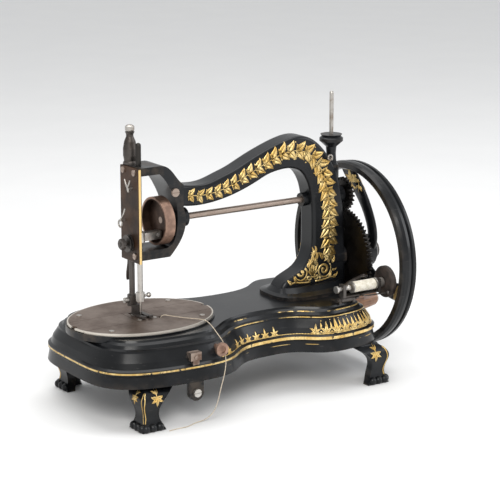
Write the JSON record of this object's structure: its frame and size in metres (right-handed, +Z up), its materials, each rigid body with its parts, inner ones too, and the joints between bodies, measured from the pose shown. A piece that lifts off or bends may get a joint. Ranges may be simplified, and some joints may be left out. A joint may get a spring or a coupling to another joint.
{
  "type": "hand sewing machine",
  "caption": "Portable hand-driven sewing machine: humped arm on a fiddle-shaped bed, geared hand wheel, needle and presser bars, bobbin winder and shuttle works.",
  "frame": {"origin": "on the standing surface, at the centre of the footprint box", "axes": "+X along the arm towards the hand wheel, -Y towards the sewer, +Z up"},
  "size_m": [0.4125, 0.196, 0.292],
  "materials": {
    "black_japan": "gloss black japan over cast iron, gold leaf garlands, worn",
    "bright_steel": "polished steel, lightly aged",
    "dark_steel": "darkened, oily steel",
    "plate_steel": "browned nickel-plated steel, worn to a bright rim",
    "face_brass": "tarnished brass, polished edge",
    "cam_bronze": "copper-brown bronze",
    "thread_white": "cotton thread",
    "thread_tan": "cotton thread",
    "tyre_brown": "hard brown rubber",
    "grip_wood": "turned and varnished hardwood"
  },
  "bodies": {
    "frame": {"bed_casting": "black_japan", "front_legs": "black_japan", "back_legs": "black_japan", "cloth_plate": "plate_steel", "needle_plate": "plate_steel", "bed_screws": "bright_steel", "arm_casting": "black_japan", "spool_cup": "black_japan", "spool_pin": "bright_steel", "head_yoke": "black_japan", "head_screws": "bright_steel", "face_plate": "face_brass", "face_thread_guides": "bright_steel", "tension_stack": "dark_steel", "pressure_post": "dark_steel", "wheel_stud": "bright_steel", "stud_cap": "dark_steel", "front_lug": "black_japan", "winder_mount": "dark_steel", "shuttle_race": "dark_steel", "works_hangers": "black_japan", "skirt_shield": "cam_bronze", "thread_eye": "bright_steel", "under_thread": "thread_tan"},
    "hand_wheel": {"hand_wheel": "black_japan", "wheel_gear": "dark_steel", "grip_pin": "bright_steel"},
    "hand_grip": {"hand_grip": "grip_wood"},
    "top_shaft": {"top_shaft": "bright_steel", "needle_cam": "cam_bronze", "shaft_pinion": "dark_steel"},
    "needle_bar": {"needle_bar": "bright_steel", "bar_carrier": "bright_steel", "needle_clamp": "bright_steel", "needle_clamp_screw": "bright_steel", "needle": "bright_steel"},
    "presser_bar": {"presser_bar": "dark_steel", "presser_foot": "dark_steel", "foot_screw": "bright_steel", "presser_collar": "dark_steel", "pressure_spring": "bright_steel"},
    "presser_lifter": {"presser_lifter": "dark_steel"},
    "pressure_knob": {"pressure_knob": "bright_steel"},
    "tension_nut": {"tension_nut": "dark_steel"},
    "right_slide": {"right_slide_plate": "plate_steel"},
    "left_slide": {"left_slide_plate": "plate_steel"},
    "winder": {"winder_bracket": "dark_steel"},
    "winder_spindle": {"winder_spindle": "bright_steel", "winder_pulley": "tyre_brown", "bobbin": "bright_steel", "bobbin_winding": "thread_white"},
    "winder_centre": {"winder_centre": "bright_steel"},
    "regulator": {"regulator_knob": "cam_bronze"},
    "shuttle": {"shuttle": "bright_steel", "shuttle_carrier": "dark_steel"},
    "shuttle_lever": {"shuttle_lever": "dark_steel"},
    "drive_rod": {"drive_rod": "dark_steel"},
    "feed": {"feed_dog": "bright_steel"},
    "feed_rock": {"feed_rock_shaft": "dark_steel"}
  },
  "joints": [
    {"name": "wheel_turn", "type": "hinge", "parent": "frame", "child": "hand_wheel", "pos_m": [0.12625, 0, 0.117], "axis": [1, 0, 0], "continuous": true},
    {"name": "shaft_turn", "type": "hinge", "parent": "frame", "child": "top_shaft", "pos_m": [0.00825, 0, 0.182], "axis": [1, 0, 0], "continuous": true},
    {"name": "grip_turn", "type": "hinge", "parent": "hand_wheel", "child": "hand_grip", "pos_m": [0.15825, 0.05019, 0.04532], "axis": [1, 0, 0], "continuous": true},
    {"name": "needle_slide", "type": "slide", "parent": "frame", "child": "needle_bar", "axis": [0, 0, 1], "range_m": [0, 0.028]},
    {"name": "presser_slide", "type": "slide", "parent": "frame", "child": "presser_bar", "axis": [0, 0, 1], "range_m": [0, 0.006], "deforming": ["pressure_spring"]},
    {"name": "lifter_turn", "type": "hinge", "parent": "frame", "child": "presser_lifter", "pos_m": [-0.12635, 0.024, 0.152], "axis": [0, 1, 0], "range_deg": [0, 92]},
    {"name": "pressure_turn", "type": "hinge", "parent": "frame", "child": "pressure_knob", "pos_m": [-0.12635, 0.015, 0.27], "axis": [0, 0, 1], "range_deg": [-180, 180]},
    {"name": "tension_turn", "type": "hinge", "parent": "frame", "child": "tension_nut", "pos_m": [-0.14675, 0.001, 0.163], "axis": [1, 0, 0], "range_deg": [-180, 180]},
    {"name": "right_slide_pull", "type": "slide", "parent": "frame", "child": "right_slide", "axis": [1, 0, 0], "range_m": [0, 0.03]},
    {"name": "left_slide_pull", "type": "slide", "parent": "frame", "child": "left_slide", "axis": [-1, 0, 0], "range_m": [0, 0.02]},
    {"name": "winder_swing", "type": "hinge", "parent": "frame", "child": "winder", "pos_m": [0.07825, -0.062, 0.0875], "axis": [1, 0, 0], "range_deg": [0, 32]},
    {"name": "spindle_turn", "type": "hinge", "parent": "winder", "child": "winder_spindle", "pos_m": [0.09825, -0.063, 0.0995], "axis": [1, 0, 0], "continuous": true},
    {"name": "centre_pull", "type": "slide", "parent": "winder", "child": "winder_centre", "axis": [-1, 0, 0], "range_m": [0, 0.003], "stiffness_N_per_m": 120, "springref_m": -0.002},
    {"name": "regulator_turn", "type": "hinge", "parent": "frame", "child": "regulator", "pos_m": [-0.08875, -0.085, 0.07], "axis": [0, 1, 0], "range_deg": [-90, 90]},
    {"name": "lever_swing", "type": "hinge", "parent": "frame", "child": "shuttle_lever", "pos_m": [-0.14525, 0.022, 0.052], "axis": [0, 0, 1], "range_deg": [-24.5, 24.5]},
    {"name": "shuttle_slide", "type": "slide", "parent": "frame", "child": "shuttle", "axis": [1, 0, 0], "range_m": [-0.015, 0.015]},
    {"name": "rod_slide", "type": "slide", "parent": "frame", "child": "drive_rod", "axis": [1, 0, 0], "range_m": [-0.0075, 0.0075]},
    {"name": "feed_slide", "type": "slide", "parent": "frame", "child": "feed", "axis": [0, 1, 0], "range_m": [-0.002, 0.002]},
    {"name": "rock_turn", "type": "hinge", "parent": "frame", "child": "feed_rock", "pos_m": [0.00825, 0.03, 0.066], "axis": [1, 0, 0], "range_deg": [-6, 0]}
  ],
  "couplings": [
    {"joint": "shaft_turn", "follows": "wheel_turn", "ratio": -3},
    {"joint": "lifter_turn", "follows": "presser_slide", "rad_per_m": 261.8},
    {"joint": "lever_swing", "follows": "rod_slide", "rad_per_m": -55.556},
    {"joint": "shuttle_slide", "follows": "rod_slide", "ratio": -1.8611}
  ]
}
